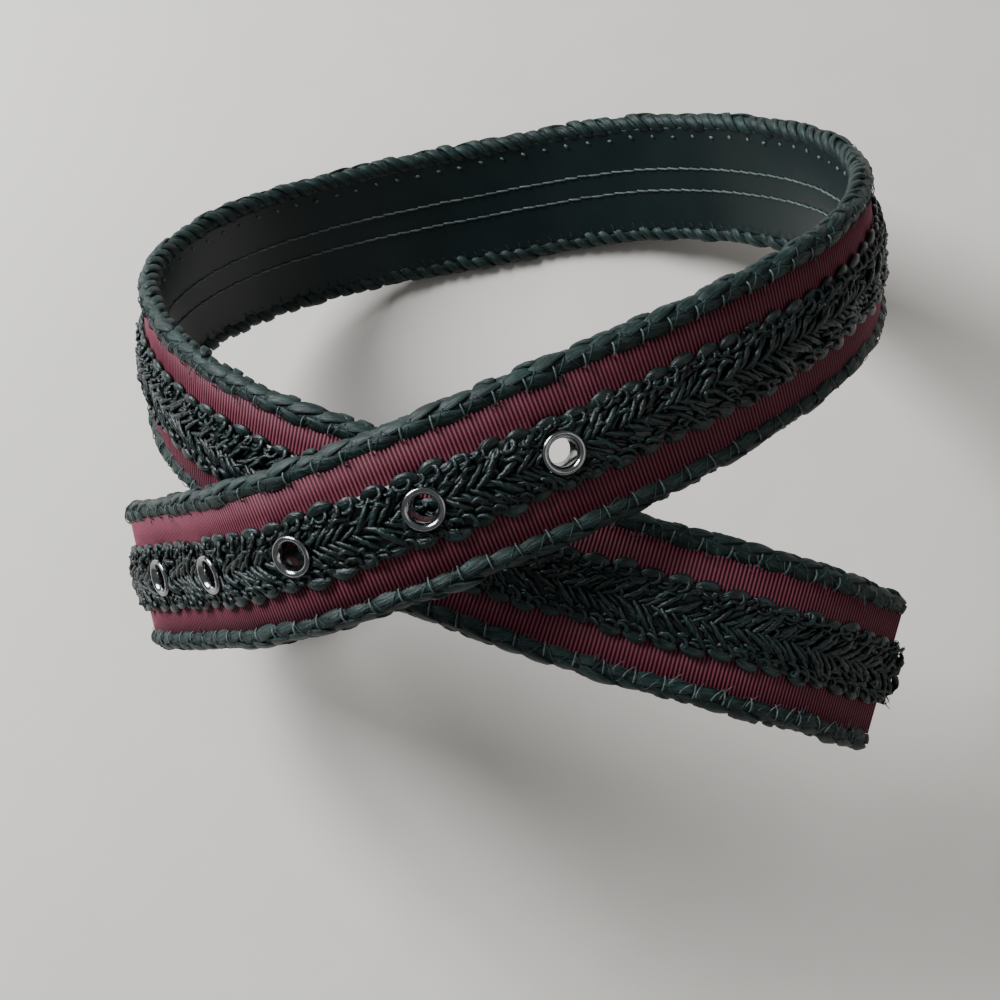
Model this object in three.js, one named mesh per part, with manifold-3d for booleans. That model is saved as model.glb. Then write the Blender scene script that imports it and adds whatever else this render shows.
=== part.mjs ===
// A trimmed leather belt, coiled and standing on its lower edge. Millimetres, +Z up.
//
// A flat leather strap carries a ribbon on its outer face, a plaited braid runs down the middle of
// the ribbon, and a corded edging closes both long edges. Five metal eyelets go through the middle.
// Every layer is swept along one route, so each of them follows any change of the route.

import * as THREE from "three";
import { mergeVertices } from "three/addons/utils/BufferGeometryUtils.js";
import Module from "manifold-3d";

// Driving dimensions: the layers
const BELT_WIDTH = 32; // over both edgings
const EDGING_WIDTH = 4.2; // seen from the outside
const EDGING_THICKNESS = 4.2; // from the inner to the outer side
const STRAP_THICKNESS = 2.2;
const RIBBON_THICKNESS = 1;
const BRAID_WIDTH = 13.8;
const BRAID_THICKNESS = 1.8;
const BRAID_SHOULDER = 1.4; // the braid's top is narrower than its foot by this on each side
const END_SET_BACK = 1.5; // the leather and the ribbon stop this far inside the ends
const GAP = 0.3; // between pieces that touch

// Driving dimensions: the eyelets
const EYELET_COUNT = 5;
const EYELET_PITCH = 25.4;
const TIP_TO_FIRST_EYELET = 130.1;
const EYELET_HOLE = 5;
const EYELET_WALL = 0.5;
const FLANGE_DIAMETER = 8;
const FLANGE_THICKNESS = 0.7;
const BACK_FLANGE_CLEARANCE = 0.5; // the strap bends away from a flat flange

// Driving dimensions: the coil
const COIL_HALF_WIDTH = 80; // across, from the middle to the side bends
const COIL_HALF_DEPTH = 70; // from the middle to the middle line of the rear strand
const CROSSING_HEIGHT = 110; // the middle line of the upper strand where the two strands cross

// How finely the curves are cut
const SECTION_STEP = 6.4;
const SAMPLES_PER_STATION = 40;
const ROUND_SIDES = 20;

// The route of the belt's middle line, from the hidden tip under the front strand, up round the
// left side, over the crossing, round the right side, along the back and out to the open end.
// across, back and up are shares of the three coil sizes. The last two columns are degrees and
// say how the belt's width lies: its turn from straight back, and its rise from level.
const ROUTE = [
  { across: 0.01, back: 0.07, up: 0.05, turn: -12, rise: 6 },
  { across: -0.46, back: -0.03, up: 0.02, turn: -13, rise: 5 },
  { across: -0.93, back: -0.13, up: 0.13, turn: -9, rise: 18 },
  { across: -1.05, back: -0.21, up: 0.42, turn: 4, rise: 18 },
  { across: -0.77, back: -0.33, up: 0.68, turn: -4, rise: 16 },
  { across: -0.54, back: -0.45, up: 0.96, turn: -12, rise: 20 },
  { across: -0.08, back: -0.4, up: 1.05, turn: -10, rise: 22 },
  { across: 0.34, back: -0.29, up: 1.02, turn: -12, rise: 28 },
  { across: 0.74, back: -0.13, up: 0.93, turn: -7, rise: 39 },
  { across: 1.05, back: 0.11, up: 0.75, turn: -1, rise: 41 },
  { across: 1.14, back: 0.46, up: 0.5, turn: -3, rise: 40 },
  { across: 0.99, back: 0.76, up: 0.26, turn: -1, rise: 40 },
  { across: 0.65, back: 0.99, up: 0.1, turn: 1, rise: 40 },
  { across: 0.2, back: 1.01, up: 0.08, turn: 2, rise: 34 },
  { across: -0.22, back: 1.0, up: 0.11, turn: 5, rise: 43 },
  { across: -0.62, back: 0.89, up: 0.23, turn: 9, rise: 45 },
  { across: -0.89, back: 0.6, up: 0.45, turn: 14, rise: 46 },
  { across: -0.8, back: 0.21, up: 0.65, turn: 23, rise: 43 },
  { across: -0.55, back: -0.13, up: 0.8, turn: 25, rise: 38 },
  { across: -0.19, back: -0.41, up: 0.85, turn: 32, rise: 21 },
  { across: 0.18, back: -0.67, up: 0.84, turn: 27, rise: 13 },
  { across: 0.59, back: -0.89, up: 0.81, turn: 30, rise: 8 },
  { across: 0.85, back: -1.0, up: 0.57, turn: 30, rise: 6 },
];

// Derived levels, measured from the middle of the leather towards the outer side
const STRAP_TOP = STRAP_THICKNESS / 2;
const RIBBON_FOOT = STRAP_TOP + GAP;
const RIBBON_TOP = RIBBON_FOOT + RIBBON_THICKNESS;
const BRAID_FOOT = RIBBON_TOP + GAP;
const BRAID_TOP = BRAID_FOOT + BRAID_THICKNESS;
const STRAP_HALF_WIDTH = BELT_WIDTH / 2 - EDGING_WIDTH - GAP;
const EDGING_MIDDLE = BELT_WIDTH / 2 - EDGING_WIDTH / 2;
const EDGING_LEVEL = (RIBBON_TOP - STRAP_TOP) / 4;

const COLOURS = {
  leather: { color: 0x1c2524, roughness: 0.45, metalness: 0 },
  ribbon: { color: 0x6b2438, roughness: 0.7, metalness: 0 },
  braid: { color: 0x141c1b, roughness: 0.6, metalness: 0 },
  edging: { color: 0x161f1e, roughness: 0.6, metalness: 0 },
  eyelet: { color: 0x9a9ea2, roughness: 0.25, metalness: 1 },
};

const wasm = await Module();
wasm.setup();

// The route

// A uniform cubic B-spline through one column of the table, mirrored past both ends.
function splineValue(values, u) {
  const last = values.length - 1;
  const at = (i) => {
    if (i < 0) return 2 * values[0] - values[1];
    if (i > last) return 2 * values[last] - values[last - 1];
    return values[i];
  };
  const k = Math.min(Math.floor(u), last - 1);
  const t = u - k;
  const a = (1 - t) ** 3 / 6;
  const b = (3 * t ** 3 - 6 * t ** 2 + 4) / 6;
  const c = (-3 * t ** 3 + 3 * t ** 2 + 3 * t + 1) / 6;
  const d = t ** 3 / 6;
  return a * at(k - 1) + b * at(k) + c * at(k + 1) + d * at(k + 2);
}

const columns = Object.fromEntries(
  Object.keys(ROUTE[0]).map((name) => [name, ROUTE.map((row) => row[name])]),
);

function routePoint(u) {
  return new THREE.Vector3(
    COIL_HALF_WIDTH * splineValue(columns.across, u),
    COIL_HALF_DEPTH * splineValue(columns.back, u),
    CROSSING_HEIGHT * splineValue(columns.up, u),
  );
}

// Running length against the table's row number, for even steps along the belt.
const lengths = [0];
const lastRow = ROUTE.length - 1;
for (let i = 1; i <= lastRow * SAMPLES_PER_STATION; i++) {
  const from = routePoint((i - 1) / SAMPLES_PER_STATION);
  const to = routePoint(i / SAMPLES_PER_STATION);
  lengths.push(lengths[i - 1] + from.distanceTo(to));
}
const BELT_LENGTH = lengths[lengths.length - 1];

function rowAt(length) {
  const i = Math.max(
    1,
    lengths.findIndex((l) => l >= length),
  );
  const share = (length - lengths[i - 1]) / (lengths[i] - lengths[i - 1]);
  return (i - 1 + share) / SAMPLES_PER_STATION;
}

// Where the belt is at a running length: its middle, and the directions along, wide and out.
function frameAt(length) {
  const u = rowAt(Math.min(Math.max(length, 0), BELT_LENGTH - 1e-6));
  const nudge = 0.5 / SAMPLES_PER_STATION;
  const before = routePoint(Math.max(u - nudge, 0));
  const after = routePoint(Math.min(u + nudge, lastRow));
  const along = after.sub(before).normalize();
  const turn = THREE.MathUtils.degToRad(splineValue(columns.turn, u));
  const rise = THREE.MathUtils.degToRad(splineValue(columns.rise, u));
  const wide = new THREE.Vector3(
    Math.sin(turn) * Math.cos(rise),
    Math.cos(turn) * Math.cos(rise),
    Math.sin(rise),
  );
  wide.addScaledVector(along, -wide.dot(along)).normalize();
  const out = along.clone().cross(wide);
  return { middle: routePoint(u), along, wide, out };
}

function place(frame, across, level) {
  return frame.middle
    .clone()
    .addScaledVector(frame.wide, across)
    .addScaledVector(frame.out, level);
}

// Shapes

// The running lengths of a sweep's sections: both ends, and between them the same places on every
// layer, so that neighbouring layers keep their gap all along.
function sectionLengths(from, to) {
  const between = [];
  for (let i = 1; i * SECTION_STEP < BELT_LENGTH; i++) between.push(i * SECTION_STEP);
  const inside = between.filter((l) => l > from + 1 && l < to - 1);
  return [from, ...inside, to];
}

// A closed solid with one outline of [across, level] points, swept between two running lengths.
function sweep(outline, from, to) {
  const sections = sectionLengths(from, to);
  const sides = outline.length;
  const positions = [];
  for (const length of sections) {
    const frame = frameAt(length);
    for (const [across, level] of outline) positions.push(...place(frame, across, level));
  }
  const end = (sections.length - 1) * sides;
  const faces = [];
  for (let ring = 0; ring < end; ring += sides)
    for (let j = 0; j < sides; j++) {
      const next = (j + 1) % sides;
      const [a, b] = [ring + j, ring + next];
      const [c, d] = [b + sides, a + sides];
      // The faces are a little twisted, and both sides of a gap are split along the same diagonal.
      if (outline[next][0] > outline[j][0]) faces.push(a, b, c, a, c, d);
      else faces.push(a, b, d, b, c, d);
    }
  const points = outline.map(([across, level]) => new THREE.Vector2(across, level));
  for (const [a, b, c] of THREE.ShapeUtils.triangulateShape(points, [])) {
    faces.push(c, b, a, a + end, b + end, c + end);
  }
  return new THREE.BufferGeometry()
    .setAttribute("position", new THREE.Float32BufferAttribute(positions, 3))
    .setIndex(faces);
}

function slab(halfWidth, foot, top, shoulder = 0) {
  const low = [
    [-halfWidth, foot],
    [halfWidth, foot],
  ];
  if (shoulder === 0) return [...low, [halfWidth, top], [-halfWidth, top]];
  const knee = (foot + top) / 2;
  return [
    ...low,
    [halfWidth, knee],
    [halfWidth - shoulder, top],
    [shoulder - halfWidth, top],
    [-halfWidth, knee],
  ];
}

function oval(middle, level, width, thickness, sides) {
  return Array.from({ length: sides }, (_, i) => {
    const angle = (2 * Math.PI * (i + 0.5)) / sides;
    const reach = 1 / Math.cos(Math.PI / sides);
    return [
      middle + (width / 2) * reach * Math.cos(angle),
      level + (thickness / 2) * reach * Math.sin(angle),
    ];
  });
}

// Turns a shape made round the Y axis so that it stands on the belt at an eyelet.
function standAtEyelet(geometry, index) {
  const frame = frameAt(TIP_TO_FIRST_EYELET + EYELET_PITCH * index);
  const turn = new THREE.Matrix4().makeBasis(frame.wide, frame.out, frame.along);
  turn.setPosition(frame.middle);
  return geometry.clone().applyMatrix4(turn);
}

function solid(geometry) {
  const bare = geometry.clone();
  bare.deleteAttribute("normal");
  bare.deleteAttribute("uv");
  const merged = mergeVertices(bare, 1e-4);
  return new wasm.Manifold(
    new wasm.Mesh({
      numProp: 3,
      vertProperties: new Float32Array(merged.attributes.position.array),
      triVerts: new Uint32Array(merged.index.array),
    }),
  );
}

function geometryOf(body) {
  const mesh = body.getMesh();
  return new THREE.BufferGeometry()
    .setAttribute("position", new THREE.BufferAttribute(mesh.vertProperties, 3))
    .setIndex(new THREE.BufferAttribute(mesh.triVerts, 1));
}

// A layer with one round hole for each eyelet's barrel.
function punched(layer) {
  const foot = -STRAP_TOP - FLANGE_THICKNESS;
  const top = BRAID_TOP + FLANGE_THICKNESS;
  const radius = EYELET_HOLE / 2 + EYELET_WALL + GAP;
  const punch = new THREE.CylinderGeometry(radius, radius, top - foot, ROUND_SIDES);
  punch.translate(0, (top + foot) / 2, 0);
  let body = solid(layer);
  for (let i = 0; i < EYELET_COUNT; i++) body = body.subtract(solid(standAtEyelet(punch, i)));
  return geometryOf(body);
}

// One eyelet: a rounded front flange, a barrel through all the layers and a flat back flange.
function eyeletProfile() {
  const bore = EYELET_HOLE / 2;
  const barrel = bore + EYELET_WALL;
  const rim = FLANGE_DIAMETER / 2;
  const front = BRAID_TOP + GAP;
  const back = -STRAP_TOP - BACK_FLANGE_CLEARANCE;
  const bevel = FLANGE_THICKNESS / 2;
  return [
    [bore, back - FLANGE_THICKNESS],
    [rim - bevel, back - FLANGE_THICKNESS],
    [rim, back],
    [barrel, back],
    [barrel, front],
    [rim, front],
    [rim - bevel / 2, front + FLANGE_THICKNESS],
    [bore + bevel, front + FLANGE_THICKNESS],
    [bore, front + bevel],
    [bore, back - FLANGE_THICKNESS],
  ].map(([radius, level]) => new THREE.Vector2(radius, level));
}

// Pieces

const coil = new THREE.Group();

function addPiece(name, geometry, finish) {
  const faceted = geometry.index ? geometry.toNonIndexed() : geometry;
  faceted.computeVertexNormals();
  const mesh = new THREE.Mesh(faceted, new THREE.MeshStandardMaterial(COLOURS[finish]));
  mesh.name = name;
  coil.add(mesh);
}

const innerFrom = END_SET_BACK;
const innerTo = BELT_LENGTH - END_SET_BACK;
const strapOutline = slab(STRAP_HALF_WIDTH, -STRAP_TOP, STRAP_TOP);
const ribbonOutline = slab(STRAP_HALF_WIDTH, RIBBON_FOOT, RIBBON_TOP);
const braidOutline = slab(BRAID_WIDTH / 2, BRAID_FOOT, BRAID_TOP, BRAID_SHOULDER);

addPiece("strap", punched(sweep(strapOutline, innerFrom, innerTo)), "leather");
addPiece("ribbon", punched(sweep(ribbonOutline, innerFrom, innerTo)), "ribbon");
addPiece("centre_braid", punched(sweep(braidOutline, 0, BELT_LENGTH)), "braid");

for (const [name, side] of [
  ["edge_upper", 1],
  ["edge_lower", -1],
]) {
  const outline = oval(side * EDGING_MIDDLE, EDGING_LEVEL, EDGING_WIDTH, EDGING_THICKNESS, 8);
  addPiece(name, sweep(outline, 0, BELT_LENGTH), "edging");
}

const eyelet = new THREE.LatheGeometry(eyeletProfile(), ROUND_SIDES);
for (let i = 0; i < EYELET_COUNT; i++)
  addPiece(`eyelet_${i + 1}`, geometryOf(solid(standAtEyelet(eyelet, i))), "eyelet");

// The origin is the middle of the coil's box, on the surface that it stands on.
const box = new THREE.Box3().setFromObject(coil);
const centre = box.getCenter(new THREE.Vector3());
coil.position.set(-centre.x, -centre.y, -box.min.z);

const belt = new THREE.Group();
belt.name = "ribbon_belt";
belt.add(coil);

export default belt;
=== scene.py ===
# %% [markdown]
# # A ribbon belt, coiled on the floor
#
# The belt is a flat leather strap. A ribbed ribbon covers its outer face, a plaited braid runs down
# the middle of the ribbon, and a plaited cord closes both long edges. Five eyelets go through it.
# The frame holds the plain solids, and this lesson dresses them strand by strand.

# %% Load the frame
import math

import bpy
import numpy as np
from mathutils import Matrix, Vector


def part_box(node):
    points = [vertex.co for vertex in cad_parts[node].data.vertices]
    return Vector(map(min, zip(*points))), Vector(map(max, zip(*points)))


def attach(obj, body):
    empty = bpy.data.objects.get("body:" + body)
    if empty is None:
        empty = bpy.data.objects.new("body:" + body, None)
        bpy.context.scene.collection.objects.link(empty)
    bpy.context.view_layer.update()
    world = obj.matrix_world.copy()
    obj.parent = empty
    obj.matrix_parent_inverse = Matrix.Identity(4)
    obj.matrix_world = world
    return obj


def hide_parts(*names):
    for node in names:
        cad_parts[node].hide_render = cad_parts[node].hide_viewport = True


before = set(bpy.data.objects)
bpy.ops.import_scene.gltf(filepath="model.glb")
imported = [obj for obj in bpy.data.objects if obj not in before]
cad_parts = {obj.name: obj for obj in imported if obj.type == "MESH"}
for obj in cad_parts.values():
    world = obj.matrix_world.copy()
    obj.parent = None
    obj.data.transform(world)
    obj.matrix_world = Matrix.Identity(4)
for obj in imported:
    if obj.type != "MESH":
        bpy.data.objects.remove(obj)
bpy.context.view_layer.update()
scene = bpy.context.scene
MM = 0.001
print("nodes", sorted(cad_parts))

# %% [markdown]
# ## The route
#
# Every layer of the belt follows one line in space. A path could be a Bezier curve drawn by hand,
# but a belt is stiff across its width, so the line alone isn't enough: the direction of the width
# has to be known too. A short table of stations holds both, and a cubic B-spline joins them, which
# keeps the bend smooth from station to station.

# %% The stations and the spline through them
COIL_HALF_WIDTH = 80 * MM
COIL_HALF_DEPTH = 70 * MM
CROSSING_HEIGHT = 110 * MM

# across, back and up are shares of the coil's sizes; turn and rise are degrees
ROUTE = [
    (0.01, 0.07, 0.05, -12, 6),
    (-0.46, -0.03, 0.02, -13, 5),
    (-0.93, -0.13, 0.13, -9, 18),
    (-1.05, -0.21, 0.42, 4, 18),
    (-0.77, -0.33, 0.68, -4, 16),
    (-0.54, -0.45, 0.96, -12, 20),
    (-0.08, -0.40, 1.05, -10, 22),
    (0.34, -0.29, 1.02, -12, 28),
    (0.74, -0.13, 0.93, -7, 39),
    (1.05, 0.11, 0.75, -1, 41),
    (1.14, 0.46, 0.50, -3, 40),
    (0.99, 0.76, 0.26, -1, 40),
    (0.65, 0.99, 0.10, 1, 40),
    (0.20, 1.01, 0.08, 2, 34),
    (-0.22, 1.00, 0.11, 5, 43),
    (-0.62, 0.89, 0.23, 9, 45),
    (-0.89, 0.60, 0.45, 14, 46),
    (-0.80, 0.21, 0.65, 23, 43),
    (-0.55, -0.13, 0.80, 25, 38),
    (-0.19, -0.41, 0.85, 32, 21),
    (0.18, -0.67, 0.84, 27, 13),
    (0.59, -0.89, 0.81, 30, 8),
    (0.85, -1.00, 0.57, 30, 6),
]
SAMPLES_PER_STATION = 40


def spline(values, u):
    """A uniform cubic B-spline through the rows of a table, mirrored past both ends."""
    first, last = 2 * values[0] - values[1], 2 * values[-1] - values[-2]
    padded = np.vstack([first, values, last])
    k = np.minimum(np.floor(u).astype(int), len(values) - 2)
    t = (u - k)[:, None]
    weights = [(1 - t) ** 3, 3 * t**3 - 6 * t**2 + 4, -3 * t**3 + 3 * t**2 + 3 * t + 1, t**3]
    return sum(weight * padded[k + j] for j, weight in enumerate(weights)) / 6


sizes = np.array([COIL_HALF_WIDTH, COIL_HALF_DEPTH, CROSSING_HEIGHT])
stations = np.array(ROUTE, float)
points = stations[:, :3] * sizes
last_row = len(ROUTE) - 1
rows = np.linspace(0, last_row, last_row * SAMPLES_PER_STATION + 1)
chords = np.linalg.norm(np.diff(spline(points, rows), axis=0), axis=1)
run = np.concatenate([[0], np.cumsum(chords)])
BELT_LENGTH = run[-1]
print("belt length in mm", round(BELT_LENGTH / MM, 1))


# %% Where the belt is, and how it lies, at any running length
def belt_frames(lengths):
    """Middle, along, wide and out at each running length, before the shift to the part's origin."""
    u = np.interp(lengths, run, rows)
    nudge = 0.5 / SAMPLES_PER_STATION
    before = spline(points, np.maximum(u - nudge, 0))
    after = spline(points, np.minimum(u + nudge, last_row))
    along = (after - before) / np.linalg.norm(after - before, axis=1)[:, None]
    turn, rise = np.radians(spline(stations[:, 3:], u)).T
    wide = np.column_stack([np.sin(turn) * np.cos(rise), np.cos(turn) * np.cos(rise), np.sin(rise)])
    wide -= (wide * along).sum(axis=1)[:, None] * along
    wide /= np.linalg.norm(wide, axis=1)[:, None]
    return spline(points, u), along, wide, np.cross(along, wide)


# %% The belt's own sizes, as the solids have them
BELT_WIDTH = 32 * MM
EDGING_WIDTH = 4.2 * MM
STRAP_THICKNESS = 2.2 * MM
RIBBON_THICKNESS = 1 * MM
BRAID_WIDTH = 13.8 * MM
BRAID_THICKNESS = 1.8 * MM
GAP = 0.3 * MM
END_SET_BACK = 1.5 * MM
EYELET_PITCH = 25.4 * MM
EYELET_COUNT = 5
TIP_TO_FIRST_EYELET = 130.1 * MM
EYELET_BORE = 2.5 * MM
FLANGE_RADIUS = 4 * MM

STRAP_TOP = STRAP_THICKNESS / 2
RIBBON_FOOT = STRAP_TOP + GAP
RIBBON_TOP = RIBBON_FOOT + RIBBON_THICKNESS
BRAID_FOOT = RIBBON_TOP + GAP
BRAID_TOP = BRAID_FOOT + BRAID_THICKNESS
STRAP_HALF_WIDTH = BELT_WIDTH / 2 - EDGING_WIDTH - GAP
# how far the leather and the ribbon reach under the edgings
STRAP_TUCK = 2.0 * MM
RIBBON_TUCK = 1.0 * MM
EDGING_MIDDLE = BELT_WIDTH / 2 - EDGING_WIDTH / 2

# %% Shift the route to the part's origin, by the box of the leather solid
SECTION_STEP = 6.4 * MM
inner = np.arange(1, int(BELT_LENGTH / SECTION_STEP) + 1) * SECTION_STEP
ends = [END_SET_BACK, BELT_LENGTH - END_SET_BACK]
sections = np.concatenate([ends[:1], inner[inner < ends[1]], ends[1:]])
middle, along, wide, out = belt_frames(sections)
corners = np.concatenate(
    [middle + across * wide + level * out
     for across in (-STRAP_HALF_WIDTH, STRAP_HALF_WIDTH)
     for level in (-STRAP_TOP, STRAP_TOP)]
)
low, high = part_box("strap")
shift = (np.array(low) + np.array(high) - corners.min(axis=0) - corners.max(axis=0)) / 2
misfit = np.abs(corners.max(axis=0) + shift - np.array(high)).max()
print("shift in mm", (shift / MM).round(2), "misfit in mm", round(misfit / MM, 3))

# %% [markdown]
# ## A guide for the trims
#
# Braid, stitches and ribs are easy to make flat, along a straight belt, and hard to make on a bent
# one. So every trim is built flat, with x along the belt, y across it and z out of its face. A
# guide then carries it to its place: a line of points that knows the belt's width direction and
# its outward direction. Geometry Nodes can read both from the guide at any length.

# %% The guide line
OVERHANG = 6 * MM
GUIDE_STEP = 1 * MM

guide_steps = int(round((BELT_LENGTH + 2 * OVERHANG) / GUIDE_STEP))
guide_lengths = np.linspace(-OVERHANG, BELT_LENGTH + OVERHANG, guide_steps + 1)
middle, along, wide, out = belt_frames(np.clip(guide_lengths, 0, BELT_LENGTH))
past = guide_lengths - np.clip(guide_lengths, 0, BELT_LENGTH)
middle = middle + past[:, None] * along + shift

guide_mesh = bpy.data.meshes.new("guide")
edges = [(i, i + 1) for i in range(guide_steps)]
guide_mesh.from_pydata([tuple(p) for p in middle], edges, [])
for name, values in (("wide", wide), ("out", out)):
    attribute = guide_mesh.attributes.new(name, "FLOAT_VECTOR", "POINT")
    attribute.data.foreach_set("vector", values.astype(np.float32).ravel())
guide = bpy.data.objects.new("guide", guide_mesh)
scene.collection.objects.link(guide)
print("guide points", len(guide_mesh.vertices))

# %% [markdown]
# ## Node trees written as expressions
#
# A node tree is a drawing of a formula. It is easier to read as the formula itself, so a small
# class wraps a socket and lets Python's own operators add the Math nodes. Everything that isn't
# arithmetic goes through one method, which takes the node's type, its settings and its inputs.


# %% A socket that can be calculated with
class Wire:
    """One output socket; sums and products with it add Math or Vector Math nodes."""

    def __init__(self, nodes, socket):
        self.nodes = nodes
        self.socket = socket

    def maths(self, operation, *others, output=0):
        """A Math node, or a Vector Math node where any of the values is a vector."""
        parts = [self, *others]
        vector = any(isinstance(p, Wire) and p.socket.type == "VECTOR" for p in parts)
        kind = "ShaderNodeVectorMath" if vector else "ShaderNodeMath"
        values = [(p,) * 3 if vector and not isinstance(p, (Wire, tuple)) else p for p in parts]
        return self.nodes.add(kind, {"operation": operation}, dict(enumerate(values)), output)

    def __add__(self, other):
        return self.maths("ADD", other)

    def __sub__(self, other):
        return self.maths("SUBTRACT", other)

    def __mul__(self, other):
        return self.maths("MULTIPLY", other)

    def __truediv__(self, other):
        return self.maths("DIVIDE", other)

    def __rsub__(self, other):
        return (self * -1) + other

    __radd__ = __add__
    __rmul__ = __mul__

    def cosine(self):
        return self.maths("COSINE")

    def between(self, low, high):
        """0 below low, 1 above high, smooth between."""
        inputs = {"Value": self, "From Min": low, "From Max": high}
        return self.nodes.add("ShaderNodeMapRange", {"interpolation_type": "SMOOTHSTEP"}, inputs)


# %% A tree that makes nodes
class Nodes:
    """One node tree and the method that adds a node to it."""

    def __init__(self, tree):
        self.tree = tree

    def add(self, kind, settings=None, inputs=None, output=0):
        node = self.tree.nodes.new(kind)
        for name, value in (settings or {}).items():
            setattr(node, name, value)
        for name, value in (inputs or {}).items():
            if isinstance(value, Wire):
                self.tree.links.new(value.socket, node.inputs[name])
            else:
                node.inputs[name].default_value = value
        return Wire(self, node.outputs[output]) if node.outputs else None

    def vector(self, x, y, z):
        return self.add("ShaderNodeCombineXYZ", None, {"X": x, "Y": y, "Z": z})

    def parts(self, vector):
        node = self.add("ShaderNodeSeparateXYZ", None, {0: vector}).socket.node
        return [Wire(self, node.outputs[axis]) for axis in "XYZ"]


# %% A Geometry Nodes tree with named inputs, and a way to turn it into a mesh
class Trim(Nodes):
    """A Geometry Nodes tree for one kind of trim."""

    def __init__(self, name, inputs):
        super().__init__(bpy.data.node_groups.new(name, "GeometryNodeTree"))
        for label, kind in inputs.items():
            self.tree.interface.new_socket(label, in_out="INPUT", socket_type="NodeSocket" + kind)
        self.tree.interface.new_socket("Geometry", in_out="OUTPUT", socket_type="NodeSocketGeometry")
        self.group_input = self.tree.nodes.new("NodeGroupInput")

    def __getitem__(self, label):
        return Wire(self, self.group_input.outputs[label])

    def place(self, geometry, position, selection=True):
        inputs = {"Geometry": geometry, "Position": position, "Selection": selection}
        return self.add("GeometryNodeSetPosition", None, inputs)

    def keep(self, geometry, name, value):
        """Stores a number on every point, for the material to read."""
        inputs = {"Geometry": geometry, "Name": name, "Value": value}
        return self.add("GeometryNodeStoreNamedAttribute", {"data_type": "FLOAT"}, inputs)

    def here(self):
        return self.add("GeometryNodeInputPosition")

    def finish(self, geometry):
        """Lays the flat trim on the belt and gives it its material."""
        laid = lay_on_belt(self, geometry)
        whole = self.add("GeometryNodeRealizeInstances", None, {"Geometry": laid})
        inputs = {"Geometry": whole, "Material": self["Material"]}
        dressed = self.add("GeometryNodeSetMaterial", None, inputs)
        group_output = self.tree.nodes.new("NodeGroupOutput")
        self.tree.links.new(dressed.socket, group_output.inputs[0])
        return self

    def make(self, name, **values):
        """Runs the tree with these inputs and returns its result as a plain mesh object."""
        piece = bpy.data.objects.new(name, bpy.data.meshes.new(name))
        scene.collection.objects.link(piece)
        modifier = piece.modifiers.new(name, "NODES")
        modifier.node_group = self.tree
        labels = {label.replace(" ", "_").lower(): label for label in self.labels()}
        for key, value in values.items():
            modifier[self.labels()[labels[key]]] = value
        depsgraph = bpy.context.evaluated_depsgraph_get()
        mesh = bpy.data.meshes.new_from_object(piece.evaluated_get(depsgraph), depsgraph=depsgraph)
        piece.modifiers.remove(modifier)
        piece.data = mesh
        mesh.name = name
        print(name, len(mesh.polygons), "faces")
        return piece

    def labels(self):
        items = self.tree.interface.items_tree
        return {item.name: item.identifier for item in items if item.in_out == "INPUT"}


# %% From the flat belt to the coiled one
def sample_guide(trim, share, name):
    """The guide's own vector called name, at a share of its length."""
    source = trim.add("GeometryNodeObjectInfo", None, {"Object": trim["Guide"]}, "Geometry")
    curve = trim.add("GeometryNodeMeshToCurve", None, {"Mesh": source})
    if name == "position":
        inputs = {"Curves": curve, "Factor": share}
        return trim.add("GeometryNodeSampleCurve", {"mode": "FACTOR"}, inputs, "Position")
    settings = {"data_type": "FLOAT_VECTOR"}
    value = trim.add("GeometryNodeInputNamedAttribute", settings, {"Name": name})
    inputs = {"Curves": curve, "Factor": share, "Value": value}
    settings = {"data_type": "FLOAT_VECTOR", "mode": "FACTOR"}
    return trim.add("GeometryNodeSampleCurve", settings, inputs, "Value")


def lay_on_belt(trim, geometry):
    """Moves flat geometry, x along, y across and z outwards, onto the belt."""
    x, y, z = trim.parts(trim.here())
    share = (x + OVERHANG) / (BELT_LENGTH + 2 * OVERHANG)
    middle = sample_guide(trim, share, "position")
    wide = sample_guide(trim, share, "wide")
    out = sample_guide(trim, share, "out")
    return trim.place(geometry, middle + wide * trim.vector(y, y, y) + out * trim.vector(z, z, z))


# %% [markdown]
# ## Room for the eyelets
#
# The eyelets were punched through all the layers, so no strand may cross their holes, and the
# braid is pressed down under their flanges. Both follow from one number: how far a point of the
# flat belt is from the nearest eyelet.

# %% Distance to the nearest eyelet, and what it does to a trim
HOLE_RADIUS = EYELET_BORE + 0.9 * MM
PRESSED_RADIUS = FLANGE_RADIUS + 2.2 * MM
PRESSED_SHARE = 0.62
LAYER_HOLE_RADIUS = EYELET_BORE + 0.75 * MM


def eyelet_distance(trim):
    """How far each point of the flat trim is from the middle of the nearest eyelet."""
    x, y, z = trim.parts(trim.here())
    turn = ((x - TIP_TO_FIRST_EYELET) / EYELET_PITCH).maths("ROUND")
    nearest = turn.maths("MAXIMUM", 0.0).maths("MINIMUM", float(EYELET_COUNT - 1))
    from_eyelet = x - TIP_TO_FIRST_EYELET - nearest * EYELET_PITCH
    flat = trim.vector(from_eyelet, y, 0.0)
    return flat.maths("LENGTH", output="Value")


def make_room(trim, geometry):
    """Presses the trim down round each eyelet and cuts away what lies in its hole."""
    x, y, z = trim.parts(trim.here())
    free = eyelet_distance(trim).between(FLANGE_RADIUS, PRESSED_RADIUS)
    pressed = (z - BRAID_FOOT) * (PRESSED_SHARE + (1 - PRESSED_SHARE) * free) + BRAID_FOOT
    geometry = trim.place(geometry, trim.vector(x, y, pressed))
    inside = eyelet_distance(trim).maths("LESS_THAN", HOLE_RADIUS)
    inputs = {"Geometry": geometry, "Selection": inside}
    return trim.add("GeometryNodeDeleteGeometry", {"domain": "POINT"}, inputs)


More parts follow.
